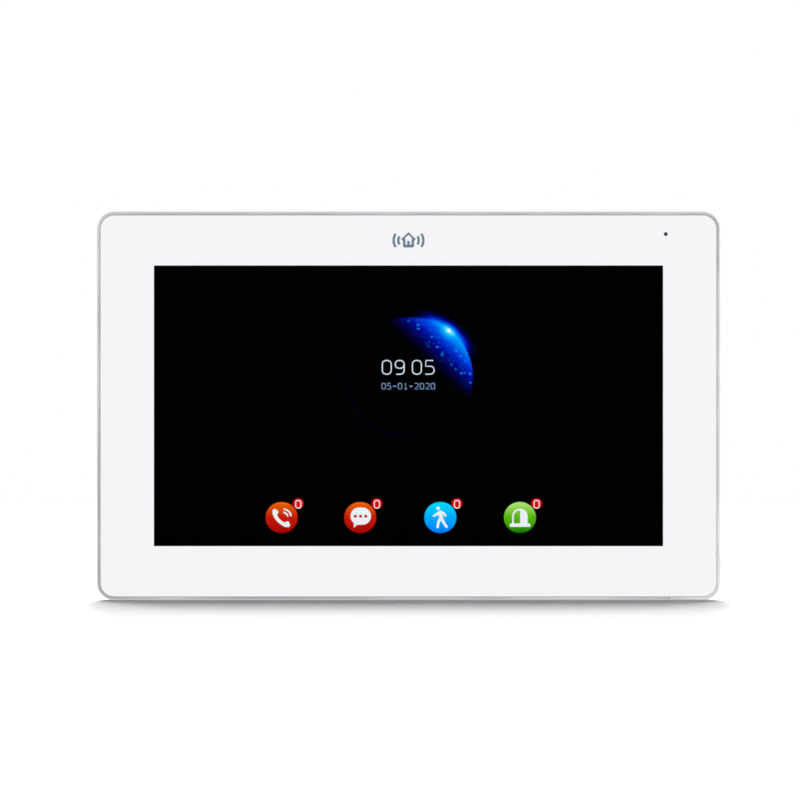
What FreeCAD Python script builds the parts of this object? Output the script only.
"""Seven-inch video intercom monitor that hangs on a steel wall bracket.

Row frame, millimetres: X to the right and Z up as a person faces the screen, +Y from the
screen towards the wall. The origin is on the wall plane, behind the middle of the screen.
Every function below makes one separate piece, or one group of like pieces, in place.
"""

import FreeCAD
import Part

import math
import os

Vector = FreeCAD.Vector

# ---------------------------------------------------------------- driving dimensions
BODY_W = 188.7          # over the silver trim
BODY_H = 117.6
BODY_DEPTH = 20.0       # from the glass to the wall
CORNER_R = 5.2
TRIM_T = 0.9            # the trim strip's thickness, which is its width seen from the front
WINDOW_W = 154.2        # clear window in the printed glass
WINDOW_H = 85.0
LCD_W = 163.6           # outline of the display module
LCD_TOP = 46.6          # its upper and lower edges; the driver side is the lower one
LCD_BOTTOM = -50.7
LIFT = 7.5              # how far the monitor rises to come off its hooks
KEY_TRAVEL = 0.25
CARD_PULL = 16.0
CARD_PUSH = 0.8
FIT_GAP = 0.1

# depths, from the front (most negative) to the wall at 0
Y_GLASS = -BODY_DEPTH
Y_GLASS_BACK = Y_GLASS + 1.1
Y_LEDGE = Y_GLASS_BACK + 0.4
Y_LEDGE_BACK = Y_LEDGE + 1.5
Y_SPLIT = -15.2         # the parting line between front frame and rear cover
Y_SHOULDER = -8.6       # where the rear cover's side turns into its bevel
Y_BACK = -1.0           # the rear cover's flat back
WALL = 2.0
Y_RECESS = -4.0         # floor of the recess that the bracket sits in
Y_FLOOR_IN = Y_RECESS - WALL
Y_BACK_IN = Y_BACK - WALL
Y_BOARD = -11.2         # the circuit board's front face
BOARD_T = 1.6
Y_BOARD_BACK = Y_BOARD + BOARD_T
Y_LCD = -18.3
Y_LCD_BACK = -14.8

# outlines: width, height and corner radius of the flat outlines that nest in each other
TRIM_IN = (BODY_W - 2 * TRIM_T, BODY_H - 2 * TRIM_T, CORNER_R - TRIM_T)
GLASS = (TRIM_IN[0] - 2 * FIT_GAP, TRIM_IN[1] - 2 * FIT_GAP, TRIM_IN[2] - FIT_GAP)
FRAME_OUT = (TRIM_IN[0] - FIT_GAP, TRIM_IN[1] - FIT_GAP, TRIM_IN[2] - FIT_GAP / 2)
FRAME_IN = (184.9, 113.8, 3.3)
FLANGE = (BODY_W - 0.6, BODY_H - 0.6, CORNER_R - 0.3)
COVER_SPLIT = (187.1, 116.0, 4.6)
COVER_SHOULDER = (186.1, 115.0, 5.0)
COVER_BACK = (166.0, 96.0, 8.0)
LCD_OPENING = (-82.2, 82.2, -51.6, 47.1)   # x and z limits of the frame's opening

# places, as (x, z)
MIC = (77.9, 52.0)
MIC_R = 2.25
CASE_SCREWS = [(-87.2, 50.0), (87.2, 50.0), (-87.2, -20.0), (87.2, -8.0), (-62.0, -52.9), (62.0, -52.9)]
CLAMPS = [(-87.0, 32.0), (87.0, 32.0), (-87.0, -41.0), (87.0, -41.0)]
BOARD_SCREWS = [(-39.5, 39.0), (66.0, 39.5), (-39.5, -43.5), (70.0, -43.5)]
SPEAKER = (-66.4, -14.0)
SPEAKER_R = 15.0
SPEAKER_POSTS = [(SPEAKER[0] + 17.5 * math.cos(math.radians(a)),
                  SPEAKER[1] + 17.5 * math.sin(math.radians(a))) for a in (60, 120, 270)]
PADS = [(x, z) for x in (-76.0, 76.0) for z in (-41.0, 41.0)]
KEY_Z = -50.2           # the power key, low on the right-hand side
KEY_Y = -12.7
KEY_PROUD = 0.85        # beyond the trim
CARD_Z = -28.0          # the memory card, above the key
CARD_Y = -12.05

# the bracket
PLATE = (-46.0, 46.0, -35.0, 36.0)
PLATE_T = 1.2
CUTOUT = (-36.0, 36.0, -8.0, 15.5)
RECESS = (-49.0, 49.0, -44.0, 37.5)
HOOK_X = 36.0
HOOK_W = 11.0
HOOKS = [(side * HOOK_X, z) for side in (-1, 1) for z in (20.0, -29.0)]   # z is under the neck
HOOK_LIP = 6.0
BOX_SCREW_Z = (30.0, -30.0)
BOX_SCREW_X = (-20.0, 0.0, 20.0)
SCREW_HOLE_R = 2.25

# the terminals
TERMINALS = (-34.0, 34.0, -2.5, 10.5)      # the window that they stand in
PITCH = 2.54
PIN = 0.64
SOCKET_H = 5.8          # across the row
SOCKET_Z = 4.0
DOOR_X = (-25.2, -11.2)
CAMERA_X = (2.8, 16.8)
POWER_X = 28.3


# ---------------------------------------------------------------- shapes that recur
def block(x0, x1, y0, y1, z0, z1):
    """A box between six planes."""
    return Part.makeBox(x1 - x0, y1 - y0, z1 - z0, Vector(x0, y0, z0))


def outline(width, height, radius, y, x=0.0, z=0.0):
    """A closed rounded rectangle in the plane at y, centred on (x, z)."""
    w = width / 2
    h = height / 2
    k = radius * (1 - math.sqrt(0.5))
    edges = []
    for sx, sz in ((1, 1), (-1, 1), (-1, -1), (1, -1)):
        side = Vector(x + sx * w, y, z + sz * (h - radius))
        top = Vector(x + sx * (w - radius), y, z + sz * h)
        middle = Vector(x + sx * (w - k), y, z + sz * (h - k))
        first, last = (side, top) if sx * sz > 0 else (top, side)
        edges.append((first, middle, last))
    parts = []
    for i, (first, middle, last) in enumerate(edges):
        parts.append(Part.Arc(first, middle, last).toShape())
        parts.append(Part.makeLine(last, edges[(i + 1) % 4][0]))
    return Part.Wire(parts)


def slab(size, y0, y1, x=0.0, z=0.0):
    """A rounded rectangle, given as (width, height, radius), made solid from y0 to y1."""
    return Part.Face(outline(*size, y0, x, z)).extrude(Vector(0, y1 - y0, 0))


def panel(limits, y0, y1, radius=0.0):
    """A solid between (x0, x1, z0, z1), with rounded corners if a radius is given."""
    x0, x1, z0, z1 = limits
    if radius == 0:
        return block(x0, x1, y0, y1, z0, z1)
    return slab((x1 - x0, z1 - z0, radius), y0, y1, (x0 + x1) / 2, (z0 + z1) / 2)


def grown(limits, by):
    """(x0, x1, z0, z1) moved outwards by a distance."""
    return (limits[0] - by, limits[1] + by, limits[2] - by, limits[3] + by)


def rod(place, radius, y0, y1):
    """A cylinder along Y at (x, z)."""
    return Part.makeCylinder(radius, y1 - y0, Vector(place[0], y0, place[1]), Vector(0, 1, 0))


def tube(place, outer, inner, y0, y1):
    """A pipe along Y at (x, z)."""
    return rod(place, outer, y0, y1).cut(rod(place, inner, y0, y1))


def screw(place, y_tip, y_head, shank_r, head_r, head_t, facing=1):
    """A cross-head screw along Y. facing 1 has its head towards the wall, -1 towards the glass."""
    y_top = y_head + facing * head_t
    body = rod(place, shank_r, min(y_tip, y_head), max(y_tip, y_head))
    head = rod(place, head_r, min(y_head, y_top), max(y_head, y_top))
    rim = [e for e in head.Edges if e.Length > head_r and abs(e.BoundBox.YMin - y_top) < 1e-6
           and abs(e.BoundBox.YMax - y_top) < 1e-6]
    head = head.makeFillet(0.35 * head_t, rim)
    deep = 0.55 * head_t
    long = 0.6 * head_r
    wide = 0.13 * head_r
    y0, y1 = sorted((y_top, y_top - facing * deep))
    x, z = place
    cross = block(x - long, x + long, y0, y1, z - wide, z + wide)
    cross = cross.fuse(block(x - wide, x + wide, y0, y1, z - long, z + long))
    return body.fuse(head).cut(cross).removeSplitter()


def group(shapes):
    """Several separate solids as one shape."""
    return Part.makeCompound([s for shape in shapes for s in shape.Solids])


def route(points, bend):
    """A wire of straight runs joined by tangent arcs of one radius."""
    edges = []
    start = points[0]
    for before, corner, after in zip(points, points[1:], points[2:]):
        to = (before - corner).normalize()
        on = (after - corner).normalize()
        half = to.getAngle(on) / 2
        back = bend / math.tan(half)
        first = corner + to * back
        last = corner + on * back
        centre = corner + (to + on).normalize() * (bend / math.sin(half))
        middle = centre + (corner - centre).normalize() * bend
        edges.append(Part.makeLine(start, first))
        edges.append(Part.Arc(first, middle, last).toShape())
        start = last
    edges.append(Part.makeLine(start, points[-1]))
    return Part.Wire(edges)


def lead(points, bend, radius):
    """A round wire along a route."""
    path = route([Vector(*p) for p in points], bend)
    start = Vector(*points[0])
    ring = Part.Wire([Part.Circle(start, Vector(*points[1]) - start, radius).toShape()])
    return path.makePipeShell([ring], True, True)


def ribbon(points, bend, thick, x0, x1):
    """A flat flexible circuit between x0 and x1 whose middle follows points given as (y, z)."""
    path = route([Vector(x0, y, z) for y, z in points], bend)
    along = Vector(0, points[1][0] - points[0][0], points[1][1] - points[0][1]).normalize()
    across = Vector(0, -along.z, along.y) * (thick / 2)
    start = Vector(x0, *points[0])
    wide = Vector(x1 - x0, 0, 0)
    corners = [start + across, start - across, start - across + wide, start + across + wide]
    section = Part.makePolygon(corners + corners[:1])
    return path.makePipeShell([section], True, True)


# ---------------------------------------------------------------- the wall bracket
def hook(x, z):
    """A tongue pressed out of the plate: a neck towards the monitor and a lip turned up behind its wall."""
    y_lip = Y_FLOOR_IN - 0.2
    neck = block(x - HOOK_W / 2, x + HOOK_W / 2, y_lip - PLATE_T, 0, z, z + PLATE_T)
    lip = block(x - HOOK_W / 2, x + HOOK_W / 2, y_lip - PLATE_T, y_lip, z, z + PLATE_T + HOOK_LIP)
    bends = [e for e in lip.Edges if e.Length > HOOK_W - 1
             and abs(e.BoundBox.YMin - (y_lip - PLATE_T)) < 1e-6 and abs(e.BoundBox.ZMin - z) < 1e-6]
    tips = [e for e in lip.Edges if e.Length < PLATE_T + 0.1 and e.BoundBox.YLength > 1
            and abs(e.BoundBox.ZMin - (z + PLATE_T + HOOK_LIP)) < 1e-6]
    return neck.fuse(lip.makeFillet(0.9, bends + tips)).removeSplitter()


def wall_bracket():
    """Pressed steel plate with four hooks, a cable cut-out and six screw holes."""
    plate = panel(PLATE, -PLATE_T, 0, 4.0).cut(panel(CUTOUT, -PLATE_T, 0, 3.0))
    for x, z in HOOKS:
        window = (x - HOOK_W / 2 - 0.5, x + HOOK_W / 2 + 0.5, z + PLATE_T, z + 12.5)
        plate = plate.cut(panel(window, -PLATE_T, 0))
        for side in (-1, 1):       # relief slits beside the bend
            edge = x + side * (HOOK_W / 2 + 0.25)
            plate = plate.cut(block(edge - 0.25, edge + 0.25, -PLATE_T, 0, z - 1.0, z + PLATE_T))
        plate = plate.fuse(hook(x, z))
    for x in BOX_SCREW_X:
        for z in BOX_SCREW_Z:
            plate = plate.cut(rod((x, z), SCREW_HOLE_R, -PLATE_T, 0))
    return plate.removeSplitter()


# ---------------------------------------------------------------- the front
def front_glass():
    """Cover glass with a small polished chamfer and the microphone's pinhole."""
    glass = slab(GLASS, Y_GLASS, Y_GLASS_BACK)
    rim = [e for e in glass.Edges if e.BoundBox.YMax < Y_GLASS + 1e-6]
    return glass.makeChamfer(0.25, rim).cut(rod(MIC, 0.58, Y_GLASS, Y_GLASS_BACK))


def trim_ring():
    """Silver strip bent round the front, with its two ends butted at the lower edge."""
    ring = slab((BODY_W, BODY_H, CORNER_R), Y_GLASS + 0.1, -16.3)
    rim = [e for e in ring.Edges if e.BoundBox.YMax < Y_GLASS + 0.1 + 1e-6]
    ring = ring.makeChamfer(0.3, rim).cut(slab(TRIM_IN, Y_GLASS, -16.3))
    seam_x = 78.7
    return ring.cut(block(seam_x - 0.12, seam_x + 0.12, Y_GLASS, -16.3, -BODY_H / 2, -BODY_H / 2 + 2))


def glass_tape():
    """Black double-sided foam tape that holds the glass to the frame."""
    tape = slab((185.4, 114.4, 3.6), Y_GLASS_BACK, Y_LEDGE)
    tape = tape.cut(panel((-83.5, 83.5, -52.6, 48.2), Y_GLASS_BACK, Y_LEDGE, 1.5))
    return tape.cut(rod(MIC, 1.0, Y_GLASS_BACK, Y_LEDGE))


def front_frame():
    """White moulding: a ledge for the glass, a wall inside the trim, and bosses for the screws."""
    frame = slab(FRAME_OUT, Y_LEDGE, Y_SPLIT).fuse(slab(FLANGE, -16.3, Y_SPLIT))
    frame = frame.cut(slab(FRAME_IN, Y_LEDGE_BACK, Y_SPLIT))
    rib = panel(grown(LCD_OPENING, 1.0), Y_LEDGE_BACK, -15.4, 1.2)
    posts = [rod(p, 2.4, Y_LEDGE_BACK, -10.0) for p in CASE_SCREWS]
    posts += [rod(p, 2.3, Y_LEDGE_BACK, Y_LCD_BACK) for p in CLAMPS]
    posts.append(rod(MIC, MIC_R + 1.5, Y_LEDGE_BACK, -13.2))
    for x, z in CASE_SCREWS[:4]:      # a gusset ties each side boss to the ledge
        posts.append(block(x - 0.5, x + 0.5, Y_LEDGE_BACK, -13.0, z - 4.6, z + 4.6))
    frame = frame.multiFuse([rib] + posts)
    frame = frame.cut(panel(LCD_OPENING, Y_LEDGE, Y_LCD_BACK + 1, 0.6))
    for p in CASE_SCREWS:
        frame = frame.cut(rod(p, 1.05, -17.6, -10.0))
    for p in CLAMPS:
        frame = frame.cut(rod(p, 0.8, -17.6, Y_LCD_BACK))
    frame = frame.cut(rod(MIC, MIC_R + 0.7, Y_LEDGE_BACK, -13.2)).cut(rod(MIC, 0.7, Y_LEDGE, Y_LEDGE_BACK))
    return frame.removeSplitter()


def touch_sensor():
    """Clear film bonded behind the window, which feels the finger through the glass."""
    return panel((-80.0, 80.0, -46.0, 46.0), Y_GLASS_BACK, Y_GLASS_BACK + 0.3, 1.0)


def touch_flex():
    """The sensor's flexible tail, round the display's lower edge to the board."""
    z_turn = LCD_BOTTOM - 0.45
    points = [(-18.525, -45.1), (-18.525, z_turn), (-11.75, z_turn), (-11.75, -44.4)]
    return ribbon(points, 0.8, 0.15, 26.0, 34.0)


def microphone():
    """Electret capsule behind the pinhole."""
    body = rod(MIC, MIC_R, -16.1, -13.9)
    return body.cut(rod(MIC, 0.9, -16.1, -15.7))


def microphone_boot():
    """Rubber cup that seals the capsule to its pocket."""
    boot = rod(MIC, MIC_R + 0.7, Y_LEDGE_BACK, -13.2)
    boot = boot.cut(rod(MIC, MIC_R, -16.1, -13.2))
    return boot.cut(rod(MIC, 0.7, Y_LEDGE_BACK, -16.1))


def microphone_leads():
    """Two thin wires from the capsule to the board."""
    wires = []
    for x in (77.3, 78.5):
        points = [(x, -13.9, MIC[1]), (x, -8.4, MIC[1]), (x, -8.4, 43.4)]
        wires.append(lead(points, 2.4, 0.5))
    return group(wires)


# ---------------------------------------------------------------- the display module
def lcd_gasket():
    """Thin foam frame between the touch film and the display's bezel."""
    y0 = Y_GLASS_BACK + 0.3
    return panel((-79.5, 79.5, -45.0, 45.0), y0, Y_LCD, 1.0).cut(panel((-77.7, 77.7, -43.4, 43.4), y0, Y_LCD))


def lcd_bezel():
    """Folded steel can round the display, open over the picture."""
    outer = (-LCD_W / 2, LCD_W / 2, LCD_BOTTOM, LCD_TOP)
    can = panel(outer, Y_LCD, Y_LCD_BACK, 0.8)
    can = can.cut(panel(grown(outer, -0.3), Y_LCD + 0.3, Y_LCD_BACK))
    return can.cut(panel((-77.9, 77.9, -43.8, 43.8), Y_LCD, Y_LCD + 0.3))


LCD_INSIDE = (-80.3, 80.3, -49.2, 45.1)


def lcd_panel():
    """The liquid-crystal cell: two bonded panes."""
    return panel(LCD_INSIDE, -18.0, -16.8)


def diffuser_films():
    """Stack of diffuser and prism films."""
    return panel(LCD_INSIDE, -16.8, -16.3)


def light_guide():
    """Clear plate that spreads the light of the strip below it."""
    return panel(LCD_INSIDE, -16.3, -15.1)


def led_strip():
    """Flexible strip along the lower edge with a row of white lamps."""
    strip = block(-78.0, 78.0, -16.2, -15.2, -50.2, -49.9)
    lamps = [block(x - 1.9, x + 1.9, -16.1, -15.3, -49.9, -49.2) for x in range(-72, 73, 9)]
    return strip.multiFuse(lamps).removeSplitter()


def lcd_back_plate():
    """Pressed steel back of the display module."""
    limits = grown((-LCD_W / 2, LCD_W / 2, LCD_BOTTOM, LCD_TOP), -0.3)
    return panel(limits, -15.1, Y_LCD_BACK)


def lcd_flex():
    """Wide flexible circuit from the display to the board, folded back into its connector."""
    points = [(-14.7, -47.5), (-14.7, -21.5), (-11.75, -21.5), (-11.75, -26.0)]
    return ribbon(points, 1.2, 0.2, -28.0, 8.0)


def lcd_clamps():
    """Four steel tabs that hold the display into the frame."""
    tabs = []
    for x, z in CLAMPS:
        side = 1 if x > 0 else -1
        x0, x1 = sorted((x + side * 2.6, x - side * 8.0))
        tab = panel((x0, x1, z - 4, z + 4), Y_LCD_BACK, Y_LCD_BACK + 0.8, 1.2)
        tabs.append(tab.cut(rod((x, z), 1.1, Y_LCD_BACK, Y_LCD_BACK + 0.8)))
    return group(tabs)


def clamp_screws():
    """Small screws through the tabs."""
    return group([screw(p, -17.4, Y_LCD_BACK + 0.8, 0.8, 1.9, 1.2) for p in CLAMPS])


# ---------------------------------------------------------------- the circuit board
def socket_pin_places():
    """(x, z) of every terminal pin."""
    places = []
    for x in DOOR_X + CAMERA_X:
        places += [(x + (i - 1.5) * PITCH, SOCKET_Z) for i in range(4)]
    return places + [(POWER_X + (i - 0.5) * PITCH, SOCKET_Z) for i in range(2)]


def main_board():
    """Glass-fibre circuit board with a tongue that reaches the right-hand side."""
    board = panel((-44.0, 82.0, -48.0, 44.0), Y_BOARD, Y_BOARD_BACK, 2.0)
    board = board.fuse(panel((70.0, 89.0, -54.3, -18.0), Y_BOARD, Y_BOARD_BACK, 1.5))
    for p in BOARD_SCREWS:
        board = board.cut(rod(p, 1.15, Y_BOARD, Y_BOARD_BACK))
    for p in socket_pin_places():
        board = board.cut(rod(p, 0.5, Y_BOARD, Y_BOARD_BACK))
    return board.removeSplitter()


def board_screws():
    """Screws that hold the board to the rear cover's posts."""
    return group([screw(p, -6.6, Y_BOARD, 0.85, 1.9, 1.3, facing=-1) for p in BOARD_SCREWS])


def chip(x, z, width, height, thick):
    """A flat package on the board's back, with a bevelled lid."""
    body = block(x - width / 2, x + width / 2, Y_BOARD_BACK, Y_BOARD_BACK + thick, z - height / 2, z + height / 2)
    rim = [e for e in body.Edges if e.BoundBox.YMin > Y_BOARD_BACK + thick - 1e-6]
    return body.makeChamfer(0.2, rim)


def processor():
    """Ball-grid processor that drives the screen and the recorder."""
    return chip(6.0, 29.0, 15.0, 15.0, 1.2)


def processor_heatsink():
    """Finned aluminium block on the processor."""
    y0 = Y_BOARD_BACK + 1.2
    sink = block(-1.0, 13.0, y0, y0 + 1.9, 22.0, 36.0)
    for i in range(6):
        x = 0.45 + i * 2.2
        sink = sink.cut(block(x, x + 1.1, y0 + 0.7, y0 + 1.9, 22.0, 36.0))
    return sink


def memory_chips():
    """Working memory and flash."""
    return group([chip(-12.0, 31.0, 8.0, 11.0, 1.0), chip(-24.0, 31.0, 8.0, 11.0, 1.0), chip(22.0, 32.0, 6.0, 5.0, 0.9)])


def support_chips():
    """Video decoder, audio amplifier, code and regulator packages."""
    places = [(-20.0, -16.0, 9.0, 9.0), (-4.0, -16.0, 7.0, 7.0), (12.0, -18.0, 5.0, 4.0), (24.0, -18.0, 5.0, 4.0),
              (-20.0, -38.0, 10.0, 6.0), (0.0, -36.0, 5.0, 5.0), (52.0, -34.0, 5.0, 6.0)]
    return group([chip(*place, 1.4) for place in places])


def power_inductors():
    """Shielded coils of the three step-down supplies."""
    coils = []
    for x, z in ((58.0, 6.0), (68.0, 6.0), (58.0, 18.0)):
        coil = slab((7.0, 7.0, 1.4), Y_BOARD_BACK, Y_BOARD_BACK + 3.2, x, z)
        coils.append(coil.cut(tube((x, z), 2.7, 2.2, Y_BOARD_BACK + 2.9, Y_BOARD_BACK + 3.2)))
    return group(coils)


def filter_capacitors():
    """Surface-mount electrolytic cans on square bases."""
    cans = []
    for x, z in ((57.0, -6.0), (66.0, -6.0), (75.0, -6.0), (57.0, -16.0)):
        base = slab((6.6, 6.6, 0.8), Y_BOARD_BACK, Y_BOARD_BACK + 0.9, x, z)
        can = rod((x, z), 3.1, Y_BOARD_BACK + 0.9, Y_BOARD_BACK + 5.6)
        cans.append(base.fuse(can))
    return group(cans)


def flex_connectors():
    """Two flat-cable connectors on the board's front."""
    shells = []
    for x0, x1, z0, z1, mouth in ((-29.5, 9.5, -30.5, -26.0, 1), (24.5, 35.5, -44.4, -40.4, -1)):
        shell = block(x0, x1, Y_BOARD - 1.1, Y_BOARD, z0, z1)
        lip_z = z1 - 0.8 if mouth > 0 else z0
        shells.append(shell.cut(block(x0 + 1.5, x1 - 1.5, Y_BOARD - 1.1, Y_BOARD - 0.8, lip_z, lip_z + 0.8)))
    return group(shells)


def wire_connectors():
    """Two small plugs, one for the speaker and one for the microphone."""
    return group([
        block(-43.6, -39.4, Y_BOARD_BACK, Y_BOARD_BACK + 3.0, -17.0, -11.0),
        block(75.4, 80.4, Y_BOARD_BACK, Y_BOARD_BACK + 3.0, 39.4, 43.4),
    ])


def wifi_module():
    """Radio module: a small board under a steel can."""
    carrier = block(62.0, 76.0, Y_BOARD_BACK, Y_BOARD_BACK + 0.8, 14.0, 32.0)
    can = block(63.0, 75.0, Y_BOARD_BACK + 0.8, Y_BOARD_BACK + 2.4, 15.0, 27.0)
    rim = [e for e in can.Edges if e.BoundBox.YMin > Y_BOARD_BACK + 2.4 - 1e-6]
    socket = rod((69.0, 29.6), 1.0, Y_BOARD_BACK + 0.8, Y_BOARD_BACK + 2.0)
    return carrier.fuse(can.makeChamfer(0.3, rim)).fuse(socket).removeSplitter()


def wifi_antenna():
    """Flexible aerial stuck inside the rear cover."""
    return panel((71.0, 79.0, 12.0, 38.0), Y_BACK_IN - 0.15, Y_BACK_IN, 0.8)


def antenna_lead():
    """Fine coaxial lead from the radio to the aerial."""
    y0 = Y_BOARD_BACK + 2.0
    points = [(69.0, y0, 29.6), (69.0, y0 + 2.2, 29.6), (73.0, y0 + 2.2, 35.2), (73.0, Y_BACK_IN - 0.15, 35.2)]
    return lead(points, 1.0, 0.55)


def battery_holder():
    """Ring that holds the clock's cell on the board."""
    ring = tube((45.0, 35.5), 7.2, 6.25, Y_BOARD_BACK, Y_BOARD_BACK + 2.3)
    return ring.cut(block(43.0, 47.0, Y_BOARD_BACK + 0.6, Y_BOARD_BACK + 2.3, 41.0, 43.5))


def clock_battery():
    """Coin cell that keeps the clock going."""
    cell = rod((45.0, 35.5), 6.2, Y_BOARD_BACK + 0.2, Y_BOARD_BACK + 2.1)
    rim = [e for e in cell.Edges if e.BoundBox.YMin > Y_BOARD_BACK + 2.1 - 1e-6]
    return cell.makeFillet(0.4, rim)


# ---------------------------------------------------------------- the side controls
def card_socket():
    """Steel shell on the board's front that the memory card latches in."""
    shell = block(74.5, 89.0, -12.95, Y_BOARD, CARD_Z - 7.0, CARD_Z + 7.0)
    shell = shell.cut(block(76.5, 89.0, -12.65, -11.45, CARD_Z - 5.6, CARD_Z + 5.6))
    return shell.cut(block(84.0, 89.0, -12.95, -12.65, CARD_Z - 3.0, CARD_Z + 3.0))


def memory_card():
    """Thumbnail card with its notched side and grip ridge, outer end just inside the wall."""
    x0 = 78.2
    x1 = 93.2
    card = block(x0, x1, CARD_Y - 0.35, CARD_Y + 0.35, CARD_Z - 5.5, CARD_Z + 5.5)
    card = card.cut(block(x0, x0 + 6.5, CARD_Y - 0.35, CARD_Y + 0.35, CARD_Z + 4.2, CARD_Z + 5.5))
    return card.fuse(block(x1 - 1.0, x1, CARD_Y - 0.6, CARD_Y - 0.35, CARD_Z - 4.5, CARD_Z + 4.5))


def power_switch():
    """Side-push switch body on the board's tongue."""
    body = block(84.0, 88.6, -14.2, Y_BOARD, KEY_Z - 3.2, KEY_Z + 3.2)
    return body.cut(block(85.8, 88.6, KEY_Y - 0.7, KEY_Y + 0.7, KEY_Z - 1.5, KEY_Z + 1.5))


def switch_plunger():
    """The switch's own pusher."""
    return block(86.2, 89.7, KEY_Y - 0.6, KEY_Y + 0.6, KEY_Z - 1.4, KEY_Z + 1.4)


def power_key():
    """Key cap through the side wall, kept in by a flange behind the wall."""
    tip = BODY_W / 2 + KEY_PROUD
    cap = slab_x((6.2, 2.4, 1.1), 90.5, tip, KEY_Y, KEY_Z)
    rim = [e for e in cap.Edges if e.BoundBox.XMin > tip - 1e-6]
    flange = slab_x((7.2, 3.9, 1.2), 90.1, 90.9, KEY_Y, KEY_Z)
    stem = block(89.8, 90.1, KEY_Y - 0.9, KEY_Y + 0.9, KEY_Z - 1.8, KEY_Z + 1.8)
    return cap.makeFillet(0.35, rim).multiFuse([flange, stem]).removeSplitter()


def slab_x(size, x0, x1, y, z):
    """A rounded bar along X: size is (length in z, height in y, radius)."""
    long, high, radius = size
    bar = slab((high, long, radius), x0, x1)
    bar.rotate(Vector(0, 0, 0), Vector(0, 0, 1), -90)
    bar.translate(Vector(0, y, z))
    return bar


# ---------------------------------------------------------------- the terminals
def socket(x, pins):
    """A white header: a block for the pins and a latching wall behind them."""
    half = (pins * PITCH + 2.2) / 2
    y0 = Y_BOARD_BACK
    body = block(x - half, x + half, y0, y0 + 3.2, SOCKET_Z - SOCKET_H / 2, SOCKET_Z + SOCKET_H / 2)
    wall = block(x - half, x + half, y0, y0 + 5.5, SOCKET_Z + SOCKET_H / 2 - 1.0, SOCKET_Z + SOCKET_H / 2)
    catch = block(x - half + 1.2, x + half - 1.2, y0 + 4.5, y0 + 5.5, SOCKET_Z + 1.5, SOCKET_Z + 1.9)
    shell = body.multiFuse([wall, catch])
    for px, pz in socket_pin_places():
        if abs(px - x) < half:
            shell = shell.cut(block(px - PIN / 2, px + PIN / 2, y0, y0 + 3.2, pz - PIN / 2, pz + PIN / 2))
    return shell.removeSplitter()


def door_sockets():
    """Two four-way headers for the door stations."""
    return group([socket(x, 4) for x in DOOR_X])


def camera_sockets():
    """Two four-way headers for extra cameras."""
    return group([socket(x, 4) for x in CAMERA_X])


def power_socket():
    """Two-way header for the supply."""
    return socket(POWER_X, 2)


def socket_pins():
    """Square tinned pins, from behind the board to the plugs."""
    pins = []
    for x, z in socket_pin_places():
        pin = block(x - PIN / 2, x + PIN / 2, -12.6, Y_BOARD_BACK + 5.4, z - PIN / 2, z + PIN / 2)
        tips = [e for e in pin.Edges if e.BoundBox.YLength < 1e-6]
        pins.append(pin.makeChamfer(0.15, tips))
    return group(pins)


# ---------------------------------------------------------------- the speaker
def speaker_basket():
    """Pressed steel chassis with a flat rim."""
    x, z = SPEAKER
    rim = tube(SPEAKER, SPEAKER_R, 12.6, -4.8, Y_BACK_IN - 0.8)
    at = Vector(x, -8.2, z)
    cup = Part.makeCone(8.6, 13.2, 3.4, at, Vector(0, 1, 0))
    cup = cup.cut(Part.makeCone(7.9, 12.6, 3.4, at, Vector(0, 1, 0)))
    floor = tube(SPEAKER, 8.6, 3.6, -8.7, -8.2)
    return rim.multiFuse([cup, floor]).removeSplitter()


def speaker_magnet():
    """Neodymium cup magnet behind the chassis."""
    return rod(SPEAKER, 7.6, -11.6, -8.7).cut(tube(SPEAKER, 3.5, 2.9, -10.4, -8.7))


def speaker_cone():
    """Paper cone with its rolled edge, dust cap and voice coil."""
    x, z = SPEAKER
    at = Vector(x, -6.6, z)
    cone = Part.makeCone(3.3, 10.2, 1.8, at, Vector(0, 1, 0))
    cone = cone.cut(Part.makeCone(3.0, 9.9, 1.8, at, Vector(0, 1, 0)))
    edge = tube(SPEAKER, 12.6, 10.0, -4.8, -4.5)
    roll = Part.makeTorus(11.2, 0.75, Vector(x, -4.6, z), Vector(0, 1, 0))
    roll = roll.common(rod(SPEAKER, 14, -4.6, -3.8))
    cap = Part.makeSphere(5.0, Vector(x, -9.9, z)).common(rod(SPEAKER, 3.2, -6.7, -4))
    coil = tube(SPEAKER, 3.3, 3.0, -9.6, -6.4)
    return cone.multiFuse([edge, roll, cap, coil]).removeSplitter()


def speaker_gasket():
    """Foam ring between the speaker and the cover."""
    return tube(SPEAKER, SPEAKER_R, 12.8, Y_BACK_IN - 0.8, Y_BACK_IN - 0.2)


def speaker_cloth():
    """Black dust cloth behind the grille."""
    return rod(SPEAKER, 14.6, Y_BACK_IN - 0.2, Y_BACK_IN)


def speaker_screws():
    """Washer-head screws that catch the speaker's rim."""
    return group([screw(p, Y_BACK_IN - 0.4, -4.8, 0.8, 2.9, 1.1, facing=-1) for p in SPEAKER_POSTS])


def speaker_leads():
    """Two wires from the speaker's tabs to the board."""
    wires = []
    for z in (-13.2, -14.8):
        points = [(-58.5, -9.25, z), (-54.5, -9.25, z), (-49.0, -8.1, z), (-43.6, -8.1, z)]
        wires.append(lead(points, 3.0, 0.55))
    return group(wires)


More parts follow.
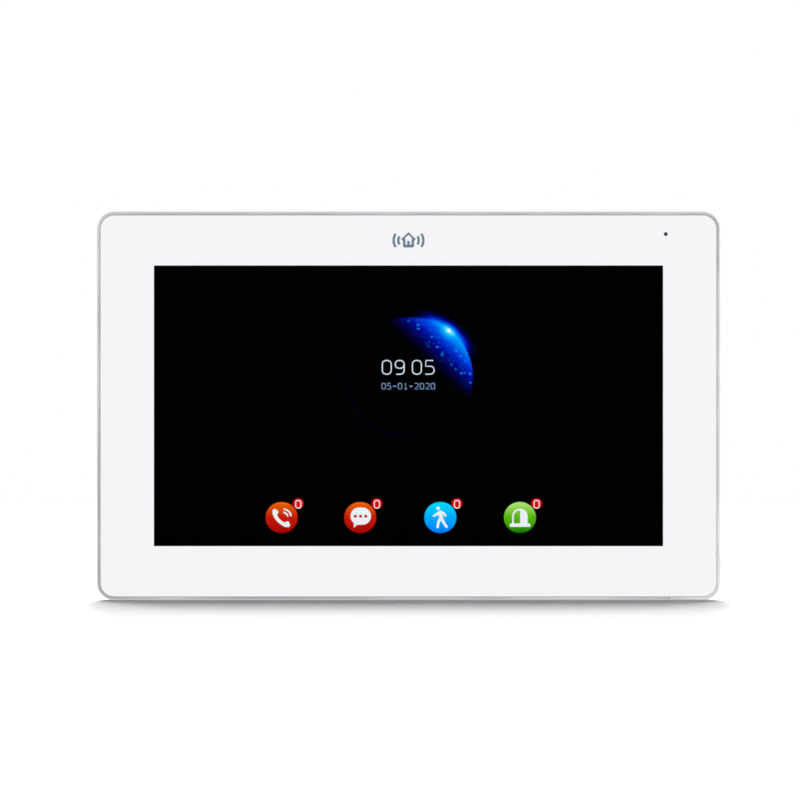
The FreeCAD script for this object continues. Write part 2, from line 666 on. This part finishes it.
# ---------------------------------------------------------------- the rear cover
def cover_shell(inset, back_inset):
    """The cover's outside, or its inside when inset: a straight side and a bevelled back."""
    shrink = [(w - 2 * inset, h - 2 * inset, max(r - inset, 1.0)) for w, h, r in
              (COVER_SPLIT, COVER_SHOULDER, COVER_BACK)]
    y_shoulder = Y_SHOULDER - 0.45 * inset
    side = Part.makeLoft([outline(*shrink[0], Y_SPLIT), outline(*shrink[1], y_shoulder)], True, True)
    bevel = Part.makeLoft([outline(*shrink[1], y_shoulder), outline(*shrink[2], Y_BACK - back_inset)], True, True)
    return side.fuse(bevel).removeSplitter()


def grille_places():
    """Hexagonal field of sound holes over the speaker."""
    step = 3.0
    places = []
    for row in range(-4, 5):
        for column in range(-4, 5):
            dx = (column + (row % 2) / 2) * step
            dz = row * step * math.sqrt(3) / 2
            if math.hypot(dx, dz) < 11.4:
                places.append((SPEAKER[0] + dx, SPEAKER[1] + dz))
    return places


def rear_cover():
    """White back shell with its lip, bracket recess, posts, vents and openings."""
    outer = cover_shell(0.0, 0.0)
    rim = [e for e in outer.Edges if e.BoundBox.YMin > Y_BACK - 1e-6]
    outer = outer.makeFillet(1.2, rim)
    cover = outer.cut(cover_shell(WALL, WALL))
    lip = slab((FRAME_IN[0] - 0.3, FRAME_IN[1] - 0.3, FRAME_IN[2] - 0.15), Y_SPLIT - 1.2, Y_SPLIT + 0.8)
    cover = cover.fuse(lip.cut(slab((183.1, 112.0, 2.6), Y_SPLIT - 1.2, Y_SPLIT + 0.8)))
    added = [panel(grown(RECESS, WALL), Y_FLOOR_IN, Y_BACK - 0.5, 3.0)]
    for x, z in CASE_SCREWS:
        added.append(rod((x, z), 3.6, -9.9, Y_BACK).common(outer))
    for x, z in BOARD_SCREWS:
        top = Y_FLOOR_IN if abs(x) < RECESS[1] else Y_BACK_IN
        added.append(rod((x, z), 2.5, Y_BOARD_BACK, top + 0.5))
    for p in SPEAKER_POSTS:
        added.append(rod(p, 2.2, -4.8, Y_BACK_IN + 0.5))
    cover = cover.multiFuse(added)
    cut = [panel(RECESS, Y_RECESS, 0, 2.5), panel(TERMINALS, Y_FLOOR_IN - 1, 0, 1.5)]
    for x, z in HOOKS:
        slot = (x - HOOK_W / 2 - 0.6, x + HOOK_W / 2 + 0.6, z + PLATE_T - 9.0, z + PLATE_T + 0.1)
        cut.append(panel(slot, Y_FLOOR_IN - 1, Y_RECESS + 1))
    for p in CASE_SCREWS:
        cut.append(rod(p, 2.9, -7.9, 0))
        cut.append(rod(p, 1.3, -9.9, -7.9))
    for p in BOARD_SCREWS:
        cut.append(rod(p, 0.85, Y_BOARD_BACK, -6.4))
    for p in SPEAKER_POSTS:
        cut.append(rod(p, 0.8, -4.8, Y_BACK_IN - 0.2))
    for side, groups in ((1, (-34.0, 34.0)), (-1, (-30.0, 22.0))):
        for middle in groups:
            for i in range(9):
                x = middle + (i - 4) * 4.4
                cut.append(panel((x - 1.0, x + 1.0, *sorted((side * 50.2, side * 55.4))), -9.5, 0, 0.95))
    cut += [rod(p, 0.8, Y_BACK_IN, 0) for p in grille_places()]
    cut += [rod(p, 4.05, Y_BACK - 0.3, 0) for p in PADS]
    cut.append(panel((57.0, 79.0, -30.0, 26.0), Y_BACK - 0.2, 0, 1.0))
    cut.append(slab_x((6.5, 2.7, 1.2), 88.0, 95.0, KEY_Y, KEY_Z))
    cut.append(block(91.0, 95.0, CARD_Y - 0.75, CARD_Y + 0.5, CARD_Z - 5.9, CARD_Z + 5.9))
    cut.append(slab_x((5.0, 5.0, 2.4), 92.9, 95.0, CARD_Y, CARD_Z))
    return cover.cut(cut).removeSplitter()


def rating_label():
    """Blank foil label in a shallow pocket."""
    return panel((57.4, 78.6, -29.6, 25.6), Y_BACK - 0.2, Y_BACK - 0.05, 0.8)


def wall_pads():
    """Soft discs that keep the back off the wall."""
    return group([rod(p, 4.0, Y_BACK - 0.3, -0.1) for p in PADS])


def case_screws():
    """Six screws that join the rear cover to the front frame."""
    return group([screw(p, -17.2, -7.9, 1.05, 2.5, 1.7) for p in CASE_SCREWS])


PIECES = [
    wall_bracket, front_glass, trim_ring, glass_tape, front_frame, touch_sensor, touch_flex,
    microphone, microphone_boot, microphone_leads, lcd_gasket, lcd_bezel, lcd_panel, diffuser_films,
    light_guide, led_strip, lcd_back_plate, lcd_flex, lcd_clamps, clamp_screws, main_board,
    board_screws, processor, processor_heatsink, memory_chips, support_chips, power_inductors,
    filter_capacitors, flex_connectors, wire_connectors, wifi_module, wifi_antenna, antenna_lead,
    battery_holder, clock_battery, card_socket, memory_card, power_switch, switch_plunger,
    power_key, door_sockets, camera_sockets, power_socket, socket_pins, speaker_basket,
    speaker_magnet, speaker_cone, speaker_gasket, speaker_cloth, speaker_screws, speaker_leads,
    rear_cover, rating_label, wall_pads, case_screws,
]


def main():
    os.makedirs("parts", exist_ok=True)
    for piece in PIECES:
        shape = piece()
        if not shape.isValid() or not shape.Solids:
            raise ValueError(piece.__name__ + " is not a valid solid")
        shape.exportStep(os.path.join("parts", piece.__name__ + ".step"))


main()
